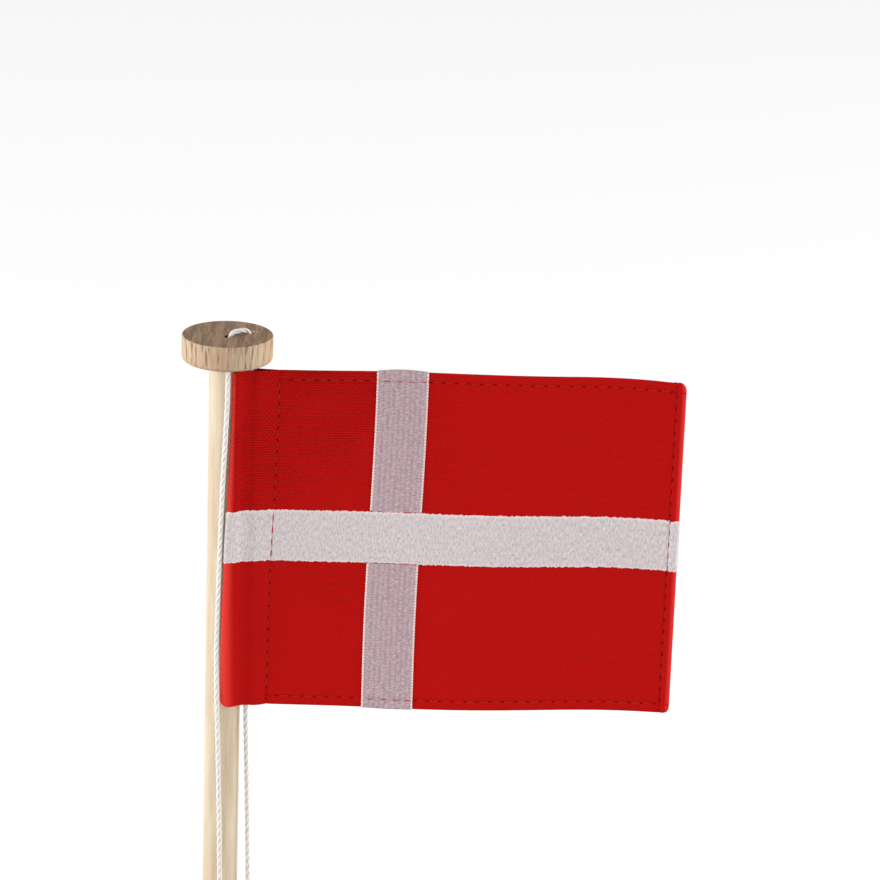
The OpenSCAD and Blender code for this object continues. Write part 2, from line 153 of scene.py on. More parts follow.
def laid_cord(name, line, side, radius, lay):
    """The outline of three touching strands, carried along the line and turned once in each lay.
    Between two strands the outline dips to a share of the radius. side is a direction across the
    line, and the UV map holds the place along the cord and round it, as on the halyard."""
    sides, dip = 30, 0.62
    forward = np.gradient(line, axis=0)
    forward /= np.linalg.norm(forward, axis=1, keepdims=True)
    side = np.cross(forward, side)
    side /= np.linalg.norm(side, axis=1, keepdims=True)
    other = np.cross(forward, side)
    along = path_length(line)
    angle = np.linspace(0, 2 * np.pi, sides, endpoint=False)
    from_groove = np.abs((angle * strand_n / (2 * np.pi)) % 1 - 0.5) * 2
    outline = radius * (dip + (1 - dip) * np.sqrt(1 - from_groove**2))
    turn = angle[None, :] + 2 * np.pi * along[:, None] / lay
    points = line[:, None] + outline[None, :, None] * (
        np.cos(turn)[..., None] * side[:, None] + np.sin(turn)[..., None] * other[:, None])
    uv = np.stack(np.broadcast_arrays(along[:, None], cord_r * angle[None, :]), axis=-1)
    return grid_piece(name, points, uv, round_columns=True, capped=True)


def linear(hex_code):
    """A colour written as sRGB hex, turned to the linear values that a shader takes."""
    s = np.array([int(hex_code[i:i + 2], 16) / 255 for i in (1, 3, 5)])
    return (*np.where(s <= 0.04045, s / 12.92, ((s + 0.055) / 1.055) ** 2.4).tolist(), 1)


def add_node(material, kind, inputs=None, **settings):
    """Adds one shader node. inputs gives its sockets, by name or number, a value or the output of
    another node, and settings are the node's own properties."""
    made = material.node_tree.nodes.new("ShaderNode" + kind)
    for key, value in settings.items():
        setattr(made, key, value)
    for key, value in (inputs or {}).items():
        if isinstance(value, bpy.types.NodeSocket):
            material.node_tree.links.new(value, made.inputs[key])
        else:
            made.inputs[key].default_value = value
    return made.outputs[2] if kind == "Mix" else made.outputs[0] if made.outputs else None


def new_material(name):
    """A material whose node tree is still empty."""
    material = bpy.data.materials.new(name)
    material.use_nodes = True
    material.node_tree.nodes.clear()
    return material


def finish_material(material, colour, height, depth, roughness, **plain):
    """Ends a material: a surface with this colour, a relief of this height and depth in metres, and
    plain values for the shader's other sockets."""
    bump = add_node(material, "Bump", {"Height": height, "Distance": depth, "Strength": 1})
    values = {"Base Color": colour, "Normal": bump, "Roughness": roughness}
    values.update({key.replace("_", " "): value for key, value in plain.items()})
    surface = add_node(material, "BsdfPrincipled", values)
    add_node(material, "OutputMaterial", {"Surface": surface})
    return material


# Laid cotton cord is bleached, matt and soft, with yarns of about 0.4 mm that run aslant over each strand.
# Down in the lay between the strands it is painted greyer, as painted shade.
laid_cotton = new_material("laid_cotton_cord")
cord_node = partial(add_node, laid_cotton)
cord_uv = cord_node("UVMap", uv_map="UVMap")
around = cord_node("SeparateXYZ", {0: cord_uv}).node.outputs[1]
strand = cord_node("Math", {0: around, 1: strand_n / (2 * math.pi * cord_r)}, operation="MULTIPLY")
strand = cord_node("Math", {0: strand}, operation="FRACT")
strand = cord_node("Math", {0: strand, 1: 0.5}, operation="SUBTRACT")
strand = cord_node("Math", {0: strand}, operation="ABSOLUTE")
# painted shade: the cord's colour turns grey down in the lay between its strands
lay_shade = cord_node("MapRange", {0: strand, 1: 0.28, 2: 0.5}, interpolation_type="SMOOTHSTEP")
aslant = cord_node("Mapping", {0: cord_uv, 2: (0, 0, math.radians(35))})
yarn_place = cord_node("Mapping", {0: aslant, 3: (500, 2400, 1)})
yarn = cord_node("TexNoise", {0: yarn_place, "Scale": 1, "Detail": 3, "Roughness": 0.6})
cord_tone = cord_node("Mix", {0: yarn, 6: linear("#E2DDD8"), 7: linear("#F1ECE6")}, data_type="RGBA")
cord_tone = cord_node("Mix", {0: lay_shade, 6: cord_tone, 7: linear("#CCC6C4")}, data_type="RGBA")
finish_material(laid_cotton, cord_tone, yarn, 0.1 * MM, 0.85, Sheen_Weight=0.1)

across_strands = np.array([0.6, -0.8, 0.02])
halyard_line = smooth_line(halyard_route, 0.5 * MM)
halyard = laid_cord("halyard_cord", halyard_line, across_strands, cord_r, lay_length)
halyard.data.materials.append(laid_cotton)
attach(halyard, "stand")
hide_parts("halyard")

# The knot that joins the halyard's two ends, in the groove under the base. The cord is wound three
# times round itself, drawn tight, and its two short tails stand out to the sides.
knot_r, knot_cord_r, knot_turns = 1.2 * MM, 0.66 * MM, 3
knot_from, knot_to = halyard_route[0], halyard_route[-1]
knot_middle = (knot_from + knot_to) / 2
knot_axis = (knot_to - knot_from) / np.linalg.norm(knot_to - knot_from)
knot_across = np.cross([0, 0, 1], knot_axis)
wind = np.linspace(0, 2 * np.pi * knot_turns, 19)
coil = knot_middle + 0.86 * (np.linspace(knot_from, knot_to, 19) - knot_middle)
coil = coil + knot_r * (np.cos(wind)[:, None] * knot_across + np.sin(wind)[:, None] * [0, 0, 1])
tail = np.array([[0.4, 0.2], [1.1, 0.9], [1.9, 2.0]]) * MM
tail_in = coil[0] - tail[:, :1] * knot_axis + tail[:, 1:] * knot_across
tail_out = coil[-1] + tail[:, :1] * knot_axis + tail[:, 1:] * knot_across
knot_line = smooth_line(np.concatenate([tail_in[::-1], coil, tail_out]), 0.2 * MM)
knot = laid_cord("halyard_knot_winding", knot_line, knot_axis, knot_cord_r, 6.5 * MM)
knot.data.materials.append(laid_cotton)
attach(knot, "stand")
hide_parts("halyard_knot")

# The turned base and the truck are oak. Oak shows growth rings, open pores that are dots on a cross cut and
# dark streaks along the grain. A cross cut drinks more oil and looks darker, and on the truck's top the
# darker colour also holds painted shade where little light falls.


def oak_material(name, along_grain, pith, cross_cut, holes):
    """Sanded and oiled oak, as a solid pattern. along_grain turns the pattern's z axis to the
    grain, pith is the middle of the growth rings, in metres, seen along the grain, and holes are
    the places in plan of the cord's two holes."""
    light, dark = "#D2BDA2", "#A68D72"
    ring_gap, pore_w, pore_l = 1.9 * MM, 0.7 * MM, 7 * MM
    # painted shade in the cord's holes is full up to the first radius and gone by the second
    hole_shade_full_r, hole_shade_none_r = 1.5 * MM, 1.75 * MM
    oak = new_material(name)
    oak_node = partial(add_node, oak)
    place = oak_node("TexCoord").node
    grain = oak_node("Mapping", {0: place.outputs["Object"], 2: along_grain})
    from_pith = oak_node("Mapping", {0: grain, 1: (*pith, 0), 3: (1, 1, 0)})
    # growth rings, made uneven by a slow wander
    wander = oak_node("TexNoise", {0: grain, "Scale": 45, "Detail": 2})
    ring = oak_node("VectorMath", {0: from_pith}, operation="LENGTH").node.outputs[1]
    ring = oak_node("Math", {0: ring, 1: 1 / ring_gap}, operation="MULTIPLY")
    ring = oak_node("Math", {0: wander, 1: 3.4, 2: ring}, operation="MULTIPLY_ADD")
    ring = oak_node("Math", {0: ring}, operation="FRACT")
    early = oak_node("MapRange", {0: ring, 1: 0.15, 2: 0.62, 3: 1, 4: 0},
                     interpolation_type="SMOOTHSTEP")
    # one long pore in each cell of this width and length, wider in the early wood
    pore_place = oak_node("Mapping", {0: grain, 3: (1 / pore_w, 1 / pore_w, 1 / pore_l)})
    pore = oak_node("TexVoronoi", {0: pore_place, "Scale": 1, "Randomness": 1})
    width = oak_node("MapRange", {0: early, 3: 0.2, 4: 0.46})
    pore = oak_node("Math", {0: pore, 1: width}, operation="DIVIDE")
    pore = oak_node("MapRange", {0: pore, 1: 0.55, 2: 1.15, 3: 1, 4: 0},
                    interpolation_type="SMOOTHSTEP")
    # fibres 0.3 mm wide and long patches of a warmer tone
    fibre_place = oak_node("Mapping", {0: grain, 3: (3200, 3200, 110)})
    fibre = oak_node("TexNoise", {0: fibre_place, "Scale": 1, "Detail": 3, "Roughness": 0.65})
    patch_place = oak_node("Mapping", {0: grain, 3: (190, 190, 22)})
    patch = oak_node("TexNoise", {0: patch_place, "Scale": 1, "Detail": 2})
    tone = oak_node("MapRange", {0: fibre, 1: 0.3, 2: 0.7})
    tone = oak_node("Mix", {0: tone, 6: linear(dark), 7: linear(light)}, data_type="RGBA")
    warm = oak_node("MapRange", {0: patch, 1: 0.42, 2: 0.68, 3: 0, 4: 0.55})
    tone = oak_node("Mix", {0: warm, 6: tone, 7: linear("#B98F6E")}, data_type="RGBA")
    band = oak_node("Math", {0: early, 1: 0.35}, operation="MULTIPLY")
    tone = oak_node("Mix", {0: band, 6: tone, 7: linear(dark)}, data_type="RGBA")
    # a face across the grain is darker and pinker: the oiled end grain's own colour, and on the truck's top
    # painted shade as well
    end_grain_and_shade = oak_node("Mapping", {0: place.outputs["Normal"], 2: along_grain})
    end_grain_and_shade = oak_node("SeparateXYZ", {0: end_grain_and_shade}).node.outputs[2]
    end_grain_and_shade = oak_node("Math", {0: end_grain_and_shade}, operation="ABSOLUTE")
    end_grain_and_shade = oak_node("MapRange", {0: end_grain_and_shade, 1: 0.6, 2: 0.95, 3: 0, 4: 0.8},
                      interpolation_type="SMOOTHSTEP")
    ray_place = oak_node("Mapping", {0: grain, 3: (600, 60, 30)})
    ray = oak_node("TexNoise", {0: ray_place, "Scale": 1, "Detail": 3, "Roughness": 0.6})
    shaded_end_tone = oak_node("MapRange", {0: ray, 1: 0.42, 2: 0.57})
    shaded_end_tone = oak_node("Mix", {0: shaded_end_tone, 6: linear(cross_cut), 7: linear("#8E6C4E")},
                        data_type="RGBA")
    tone = oak_node("Mix", {0: end_grain_and_shade, 6: tone, 7: shaded_end_tone}, data_type="RGBA")
    dark_pore = oak_node("Math", {0: pore, 1: 0.7}, operation="MULTIPLY")
    tone = oak_node("Mix", {0: dark_pore, 6: tone, 7: linear("#5A422D")}, data_type="RGBA")
    # painted shade darkens the walls of the holes
    for x, y in holes:
        axis = oak_node("Mapping", {0: place.outputs["Object"], 1: (-x * MM, -y * MM, 0), 3: (1, 1, 0)})
        wall = oak_node("VectorMath", {0: axis}, operation="LENGTH").node.outputs[1]
        wall = oak_node("MapRange", {0: wall, 1: hole_shade_full_r, 2: hole_shade_none_r, 3: 1, 4: 0})
        tone = oak_node("Mix", {0: wall, 6: tone, 7: linear("#2A1A11")}, data_type="RGBA")
    relief = oak_node("Math", {0: pore, 1: -1, 2: fibre}, operation="MULTIPLY_ADD")
    return finish_material(oak, tone, relief, 0.06 * MM, 0.55, Specular_IOR_Level=0.12)


# the truck's cross-cut colour is darkened further as painted shade for its top
truck_oak = oak_material("oiled_oak_cross_cut", (0, 0, math.radians(2)), (0.052, 0.012), "#5A412D",
                         ((0.4, -7.4), (7.6, -3.1)))
base_oak = oak_material("oiled_oak_board", (0, math.radians(90), 0), (-0.045, 0.02), "#94775A",
                        ((2, -11.5), (10.6, -3.1)))
for node, wood in (("truck", truck_oak), ("base", base_oak)):
    for wood_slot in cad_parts[node].material_slots:
        wood_slot.material = wood

# The pole is a smooth pale dowel, sanded and left almost bare. It has faint long patches, fine
# straight fibres and very short flecks.
dowel = new_material("pale_sanded_dowel")
pole_node = partial(add_node, dowel)
dowel_place = pole_node("TexCoord").node.outputs["Object"]
long_place = pole_node("Mapping", {0: dowel_place, 3: (260, 260, 26)})
long_patch = pole_node("TexNoise", {0: long_place, "Scale": 1, "Detail": 3, "Roughness": 0.55})
fine_place = pole_node("Mapping", {0: dowel_place, 3: (2600, 2600, 80)})
fine_fibre = pole_node("TexNoise", {0: fine_place, "Scale": 1, "Detail": 2})
fleck_place = pole_node("Mapping", {0: dowel_place, 3: (1500, 1500, 330)})
fleck = pole_node("TexVoronoi", {0: fleck_place, "Scale": 1})
fleck = pole_node("MapRange", {0: fleck, 1: 0.08, 2: 0.2, 3: 0.3, 4: 0})
dowel_tone = pole_node("MapRange", {0: long_patch, 1: 0.35, 2: 0.65})
dowel_tone = pole_node("Mix", {0: dowel_tone, 6: linear("#C4B095"), 7: linear("#D6C7B0")},
                       data_type="RGBA")
fine_share = pole_node("MapRange", {0: fine_fibre, 1: 0.35, 2: 0.65, 3: 0, 4: 0.3})
dowel_tone = pole_node("Mix", {0: fine_share, 6: dowel_tone, 7: linear("#BCA27C")}, data_type="RGBA")
dowel_tone = pole_node("Mix", {0: fleck, 6: dowel_tone, 7: linear("#B4946A")}, data_type="RGBA")
finish_material(dowel, dowel_tone, fine_fibre, 0.02 * MM, 0.5, Specular_IOR_Level=0.25)
for wood_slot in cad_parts["pole"].material_slots:
    wood_slot.material = dowel

# The flag's cloth is one sheet of plain-woven red cotton. Its top, fly and foot edges are turned
# twice to the back and sewn as narrow hems, and its hoist edge is folded back and sewn down as a
# sleeve for the halyard.
flag_w, flag_h, flag_top = 150 * MM, 118.2 * MM, 377.1 * MM
cloth_t = 0.4 * MM
half_t = cloth_t / 2
hem_w, sleeve_w = 4 * MM, 15 * MM
hoist_x, hoist_lean, lean_end = 1.7 * MM, 2.5 * MM, 0.85
sheet_y0 = -3.1 * MM
wave_h, wave_l, wave_start, wave_turn = 1.1 * MM, 112 * MM, 50 * MM, math.radians(70)
fly_drop, drop_from = 2.4 * MM, 0.76
foot_sag, sag_arc = 1 * MM, math.radians(163)
stitch_inset, stitch_pitch = 3 * MM, 4.2 * MM
seam_u = sleeve_w + 0.6 * MM
first_u, first_v = sleeve_w + stitch_pitch, 1.5 * stitch_inset


def rise(t):
    """Runs smoothly from 0 to 1 as t does: half a cosine wave."""
    return (1 - np.cos(np.pi * np.clip(t, 0, 1))) / 2


def flag_x(u, s):
    """x of the cloth at u from the hoist fold and s of its height down: the fold leans to the foot."""
    return hoist_x + u - hoist_lean * rise(s / lean_end) * (1 - (np.maximum(u, 0) / flag_w) ** 2)


def flag_y(u, s):
    """y of the cloth: a gentle wave that starts past the sleeve and turns from top to foot."""
    grown = wave_h * rise((u - sleeve_w) / wave_start)
    return sheet_y0 + grown * np.sin(2 * np.pi * (u - sleeve_w) / wave_l + wave_turn * s)


def flag_z(u, s):
    """z of the cloth: level rows that drop towards the fly, most of all at its top, and a foot that
    sags."""
    drop = fly_drop * (1 - 0.55 * s) * (np.maximum(0, u / flag_w - drop_from) / (1 - drop_from)) ** 2
    return flag_top - s * flag_h - drop - s * foot_sag * np.sin(sag_arc * u / flag_w)


def puff(b):
    """How far a hem's face stands out at b from its edge: a soft roll up to the stitches, a groove
    where they pull it in, and a faint swell past them."""
    roll_up = 0.3 * np.sin(np.pi * np.clip(b / stitch_inset, 0, 1)) ** 0.8
    groove = 0.3 * np.exp(-(((b - stitch_inset) / (0.45 * MM)) ** 2))
    swell = 0.12 * np.exp(-(((b - stitch_inset - 1.6 * MM) / (1.1 * MM)) ** 2))
    return (roll_up - groove + swell) * MM


def near(distance, reach):
    """1 at no distance, which falls off over the reach as a bell curve does."""
    return np.exp(-((distance / reach) ** 2))


def front_relief(u, s):
    """How far the front stands out of the cloth's place: the hems' roll at the fly, the top and the
    foot, a groove along the sleeve's seam, and a slight pull at each needle hole."""
    v = s * flag_h
    pull_h, pull_w, groove_h, groove_w = 0.06 * MM, 2 * MM, 0.3 * MM, 0.5 * MM
    beat = 2 * np.pi / stitch_pitch
    pull = near(np.minimum(v, flag_h - v) - stitch_inset, pull_w) * np.cos(beat * (u - first_u))
    pull = pull + near(flag_w - u - stitch_inset, pull_w) * np.cos(beat * (v - first_v))
    pull = pull + near(u - seam_u, pull_w) * np.cos(beat * (v - stitch_inset))
    groove = groove_h * near(u - seam_u, groove_w)
    return puff(v) + puff(flag_h - v) + puff(flag_w - u) - groove - pull_h * pull


# The sleeve's two layers in plan: the front one passes in front of the cord and goes round the pole
# to the fold, and the back one lies closer to the pole and returns behind the cord.
fold_r = 0.3 * MM
wrap_r = 6.79 * MM
cord_room = 1.35 * MM
sleeve_cord_x, sleeve_cord_y, cord_foot_x = 7.6 * MM, -3.1 * MM, 10.6 * MM
pocket_end = cord_foot_x + 0.9 * cord_room


def on_arc(r, degrees):
    """Points at radius r round the pole's axis, at these angles from +X."""
    a = np.radians(degrees)
    return np.stack([r * np.cos(a), r * np.sin(a)], axis=-1)


def sleeve_layer(s, seam_y, past, r, meets):
    """The points in plan that one sleeve layer passes at the heights s: from the seam past the
    cord, onto the arc of radius r at the angle meets, and along it to the fold."""
    fold = -np.degrees(np.arccos((flag_x(0, s) + fold_r + half_t) / (wrap_r + fold_r)))
    level_row = np.ones_like(s)
    straight = [(flag_x(sleeve_w, s), seam_y), (pocket_end, sleeve_cord_y + 0.8 * past),
                (cord_foot_x, sleeve_cord_y + past), (sleeve_cord_x + 0.3 * MM, sleeve_cord_y + past)]
    straight = [np.stack([x * level_row, y * level_row], axis=-1) for x, y in straight]
    arc = [on_arc(r, meets * level_row)]
    arc += [on_arc(r, meets - 12 + (fold - meets + 12) * k / 6) for k in range(7)]
    return np.stack(straight + arc), fold


def sleeve_outline(s):
    """The middle of the sleeve's cloth in plan at the heights s: from the seam in front, round the
    fold, to the seam behind. Shape (points, heights, 2)."""
    front, fold = sleeve_layer(s, sheet_y0, -cord_room, wrap_r + 2 * fold_r, -48)
    back, _ = sleeve_layer(s, sheet_y0 + cloth_t, cord_room, wrap_r, -18)
    turns = np.stack([on_arc(wrap_r + fold_r, fold) + on_arc(fold_r, fold + a) for a in (315, 270, 225)])
    line = smooth_line(np.concatenate([front, turns, back[::-1]]), 0.42 * MM * math.sqrt(len(s)))
    lap = np.array([0.5, 1.1, 1.7, 2.3])[:, None] * MM
    lap = np.stack([line[-1, :, 0] + lap, line[-1, :, 1] + 0 * lap], axis=-1)
    return np.concatenate([line, lap])


def hem_turns():
    """A twice-turned hem, from its tucked-in end to 5.2 mm inside the front, as distances from the
    edge and behind the front: the tucked end, the inner fold, the back, the outer fold, the front."""
    half_turn = np.linspace(0, np.pi, 7)
    tucked = [np.linspace(0.9, 3.6, 4), np.full(4, 0.4)]
    inner = [3.8 + 0.2 * np.sin(half_turn), 0.6 - 0.2 * np.cos(half_turn)]
    back = [np.linspace(3.5, 0.6, 12), np.full(12, 0.8)]
    outer = [0.4 - 0.4 * np.sin(half_turn), 0.4 + 0.4 * np.cos(half_turn)]
    front = [np.linspace(0.7, 5.2, 16), np.zeros(16)]
    return np.concatenate([tucked, inner, back, outer, front], axis=1) * MM


def flag_sheet():
    """The middle of the cloth as one grid. Down the flag, the rows run from the top hem's tucked
    end round its turns, down the front and into the foot's hem. Across it, the columns do the same
    at the fly and then go round the sleeve. Each point is the front's place moved back by the
    layers before it. Returns the points and the flat cloth's coordinates in metres."""
    hem_in, hem_back = hem_turns()
    plain = hem_in[-1]
    down = np.concatenate([hem_in, np.linspace(plain, flag_h - plain, 90)[1:-1], flag_h - hem_in[::-1]])
    down_back = np.concatenate([hem_back, np.zeros(len(down) - 2 * len(hem_back)), hem_back[::-1]])
    near_seam = sleeve_w + 2.6 * MM
    across = np.concatenate([flag_w - hem_in, np.linspace(flag_w - plain, near_seam, 108)[1:],
                             np.linspace(near_seam, sleeve_w, 9)[1:-1]])
    across_back = np.concatenate([hem_back, np.zeros(len(across) - len(hem_back))])
    u, s = np.meshgrid(across, down / flag_h)
    layer = across_back[None, :] + down_back[:, None]

    # the corners at the fly are rounded: there the square grid is drawn in to a quarter circle
    corner_r = 2.2 * MM
    p = np.clip(1 - (flag_w - u) / corner_r, 0, 1)
    q = np.clip(1 - np.minimum(s, 1 - s) * flag_h / corner_r, 0, 1)
    u = u - corner_r * p * (1 - np.sqrt(1 - q**2 / 2))
    s = s + np.sign(0.5 - s) * corner_r * q * (1 - np.sqrt(1 - p**2 / 2)) / flag_h
    on_front = 1 - 2 * np.clip(layer / (2 * cloth_t), 0, 1)
    flat_y = flag_y(u, s) + layer - on_front * front_relief(u, s)
    flat = np.stack([flag_x(u, s), flat_y, flag_z(u, s)], axis=-1)

    # round the sleeve the hems are drawn together to a narrow bead at its two mouths, and the
    # fold's lower corner is rounded
    s_row = down / flag_h
    plan = sleeve_outline(s_row).transpose(1, 0, 2)
    mouth = np.minimum(down, flag_h - down)
    mouth = np.where(down_back > 0, 0.12 * mouth, mouth)
    row = np.where(s_row < 0.5, mouth, flag_h - mouth)[:, None] / flag_h
    inside = np.maximum(plan[..., 0] - flag_x(0, s_row)[:, None], 0)
    foot_r = 3.2 * MM
    short = foot_r * (1 - np.sqrt(1 - np.clip(1 - inside / foot_r, 0, 1) ** 2))
    short = short * rise(1 - (1 - row) * flag_h / (12 * MM))
    sleeve_y = plan[..., 1] + 0.1 * down_back[:, None]
    sleeve = np.stack([plan[..., 0], sleeve_y, flag_z(inside, row) + short], axis=-1)
    points = np.concatenate([flat, sleeve], axis=1)

    # the flat cloth's coordinates are those of the front, and go on round the hems and the sleeve
    hem_way = path_length(np.stack([hem_in, hem_back], axis=-1))
    turned = hem_way[-1] - hem_way - plain
    sleeve_way = path_length(plan[len(plan) // 2])
    cut_u = np.concatenate([flag_w + turned, across[len(turned):], sleeve_w - sleeve_way])
    cut_v = np.concatenate([-turned, down[len(turned):-len(turned)], flag_h + turned[::-1]])
    return points, np.stack(np.meshgrid(cut_u, cut_v), axis=-1)


cloth_points, cloth_uv = flag_sheet()
cloth = grid_piece("flag_sheet", cloth_points, cloth_uv)
thickness = cloth.modifiers.new("cloth_thickness", "SOLIDIFY")
thickness.thickness = 0.36 * MM
thickness.offset = 0

# Plain-woven cotton, dyed through, is matt. The warp shows as offset dots between its level ribs,
# most strongly near the top of the hoist, and the needle has left a dark hole at each end of every
# stitch.
rib_gap, warp_gap = 0.83 * MM, 0.5 * MM
strong_to, faint_from = 25 * MM, 100 * MM
red_cotton = new_material("plain_woven_red_cotton")
red_node = partial(add_node, red_cotton)
flat_place = red_node("UVMap", uv_map="UVMap")
flat_split = red_node("SeparateXYZ", {0: flat_place}).node
flat_u, flat_v = flat_split.outputs[0], flat_split.outputs[1]
rib = red_node("Math", {0: flat_v, 1: 2 * math.pi / rib_gap}, operation="MULTIPLY")
swap = red_node("Math", {0: rib, 1: 0.5}, operation="MULTIPLY")
rib = red_node("Math", {0: rib}, operation="SINE")
swap = red_node("Math", {0: swap}, operation="SINE")
warp = red_node("Math", {0: flat_u, 1: math.pi / warp_gap}, operation="MULTIPLY")
warp = red_node("Math", {0: warp}, operation="SINE")
warp = red_node("Math", {0: warp, 1: swap}, operation="MULTIPLY")
weave = red_node("Math", {0: warp, 1: 0.9, 2: rib}, operation="MULTIPLY_ADD")
weave_patch = red_node("TexNoise", {0: flat_place, "Scale": 30, "Detail": 2})
weave_part = red_node("MapRange", {0: weave_patch, 1: 0.36, 2: 0.6, 3: 0.5, 4: 1})
weave = red_node("Math", {0: weave, 1: weave_part}, operation="MULTIPLY")
from_corner = red_node("VectorMath", {0: flat_place}, operation="LENGTH").node.outputs[1]
by_corner = red_node("MapRange", {0: from_corner, 1: strong_to, 2: faint_from, 3: 1.4, 4: 0.4})
weave = red_node("Math", {0: weave, 1: by_corner}, operation="MULTIPLY")
cotton_tone = red_node("MapRange", {0: weave, 1: -1.9, 2: 1.9})
cotton_tone = red_node("Mix", {0: cotton_tone, 6: linear("#970805"), 7: linear("#D01816")},
                       data_type="RGBA")
slub_place = red_node("Mapping", {0: flat_place, 3: (90, 700, 1)})
slub = red_node("TexNoise", {0: slub_place, "Scale": 1, "Detail": 3})
slub = red_node("MapRange", {0: slub, 1: 0.4, 2: 0.75, 3: 0, 4: 0.35})
cotton_tone = red_node("Mix", {0: slub, 6: cotton_tone, 7: linear("#B30C0A")}, data_type="RGBA")
# along the hoist fold the cloth is painted paler red as a painted highlight, more widely towards the foot:
# fully up to 0.1 of this width, and no more from 1.5 of it on
highlight_top, highlight_foot = 1.3 * MM, 2.8 * MM
fold_u = float(cloth_uv[0, np.argmin(cloth_points[len(cloth_points) // 2, :, 0]), 0])
highlight_width = red_node("MapRange", {0: flat_v, 1: 0, 2: flag_h, 3: highlight_top, 4: highlight_foot})
from_fold = red_node("Math", {0: flat_u, 1: fold_u}, operation="SUBTRACT")
from_fold = red_node("Math", {0: from_fold}, operation="ABSOLUTE")
from_fold = red_node("Math", {0: from_fold, 1: highlight_width}, operation="DIVIDE")
fold_highlight = red_node("MapRange", {0: from_fold, 1: 0.1, 2: 1.5, 3: 0.9, 4: 0},
                  interpolation_type="SMOOTHSTEP")
cotton_tone = red_node("Mix", {0: fold_highlight, 6: cotton_tone, 7: linear("#F5433C")}, data_type="RGBA")
# and a weaker painted highlight lies over the fly hem's turn
fly_highlight = red_node("Math", {0: flat_u, 1: flag_w}, operation="SUBTRACT")
fly_highlight = red_node("Math", {0: fly_highlight}, operation="ABSOLUTE")
fly_highlight = red_node("MapRange", {0: fly_highlight, 1: 0.3 * MM, 2: 1.9 * MM, 3: 0.6, 4: 0},
                  interpolation_type="SMOOTHSTEP")
cotton_tone = red_node("Mix", {0: fly_highlight, 6: cotton_tone, 7: linear("#F0403E")}, data_type="RGBA")
# each sewn row: the coordinate across it, the one along it, its lines in front and behind, and
# the place of its first hole. round_edge is the way from a stitch in front round to the back.
round_edge = 3.46 * MM
hole_across, hole_along = 0.36 * MM, 0.5 * MM
sleeve_back_u = float(cloth_uv[0, -4, 0]) - 0.1 * MM
hole = 0
for row, along, lines, first in (
        (flat_v, flat_u, (stitch_inset, flag_h - stitch_inset, -round_edge, flag_h + round_edge), first_u),
        (flat_u, flat_v, (flag_w - stitch_inset, flag_w + round_edge), first_v),
        (flat_u, flat_v, (seam_u, sleeve_back_u), stitch_inset)):
    off_row = 1
    for at in lines:
        off = red_node("Math", {0: row, 1: at}, operation="SUBTRACT")
        off = red_node("Math", {0: off}, operation="ABSOLUTE")
        off_row = red_node("Math", {0: off, 1: off_row}, operation="MINIMUM")
    before = red_node("MapRange", {0: along, 1: first - 1.5 * MM, 2: first - MM, 3: 3, 4: 0})
    off_row = red_node("Math", {0: off_row, 1: 1 / hole_across, 2: before}, operation="MULTIPLY_ADD")
    beat = red_node("Math", {0: along, 1: first}, operation="SUBTRACT")
    beat = red_node("Math", {0: beat, 1: stitch_pitch / 2}, operation="PINGPONG")
    beat = red_node("Math", {0: beat, 1: 1 / hole_along}, operation="MULTIPLY")
    apart = red_node("CombineXYZ", {0: off_row, 1: beat})
    apart = red_node("VectorMath", {0: apart}, operation="LENGTH").node.outputs[1]
    one_hole = red_node("MapRange", {0: apart, 1: 0.5, 2: 1.1, 3: 1, 4: 0})
    hole = red_node("Math", {0: one_hole, 1: hole}, operation="MAXIMUM")
hole_share = red_node("Math", {0: hole, 1: 0.75}, operation="MULTIPLY")
cotton_tone = red_node("Mix", {0: hole_share, 6: cotton_tone, 7: linear("#680000")}, data_type="RGBA")
cotton_relief = red_node("Math", {0: hole, 1: -2, 2: weave}, operation="MULTIPLY_ADD")
finish_material(red_cotton, cotton_tone, cotton_relief, 0.1 * MM, 0.9, Specular_IOR_Level=0.04)
cloth.data.materials.append(red_cotton)
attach(cloth, "flag")
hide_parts("flag_cloth")

# The cross is embroidered with white thread before the flag is hemmed. The bar that lies across is
# filled with upright stitches, and is folded with the cloth round the hoist and the fly.
bar_t = 0.3 * MM
bar_across_w, bar_from_top = 18.2 * MM, 57.4 * MM
across_top = (bar_from_top - bar_across_w / 2) / flag_h
across_foot = across_top + bar_across_w / flag_h
sunk = 0.12 * MM
# a hem's back face lies this far behind the cloth's place, and its fold has this radius outside
hem_face, turn_r = 5 * half_t, 3 * half_t
stitch_chance = np.random.default_rng(7)


def uneven(x, y, wide, tall):
    """Smooth random heights from 0 to 1: a lattice of random values with cells of this width and
    height, eased between its points. x and y are arrays of one shape, from 0 up."""
    a, b = x / wide, y / tall
    lattice = stitch_chance.random((int(a.max()) + 2, int(b.max()) + 2))
    i, j = a.astype(int), b.astype(int)
    fa, fb = rise(a - i), rise(b - j)
    low = lattice[i, j] * (1 - fb) + lattice[i, j + 1] * fb
    high = lattice[i + 1, j] * (1 - fb) + lattice[i + 1, j + 1] * fb
    return low * (1 - fa) + high * fa


def evenly(line, t, at):
    """The points of a line whose lengths are t, at the lengths at."""
    i = np.clip(np.searchsorted(t, at, side="right") - 1, 0, len(t) - 2)
    w = ((at - t[i]) / (t[i + 1] - t[i])).reshape(-1, *[1] * (line.ndim - 1))
    return line[i] * (1 - w) + line[i + 1] * w


def left_of(tangent):
    """The unit vector on the left of a direction in a plane."""
    tangent = tangent / np.linalg.norm(tangent, axis=-1, keepdims=True)
    return np.stack([-tangent[..., 1], tangent[..., 0]], axis=-1)


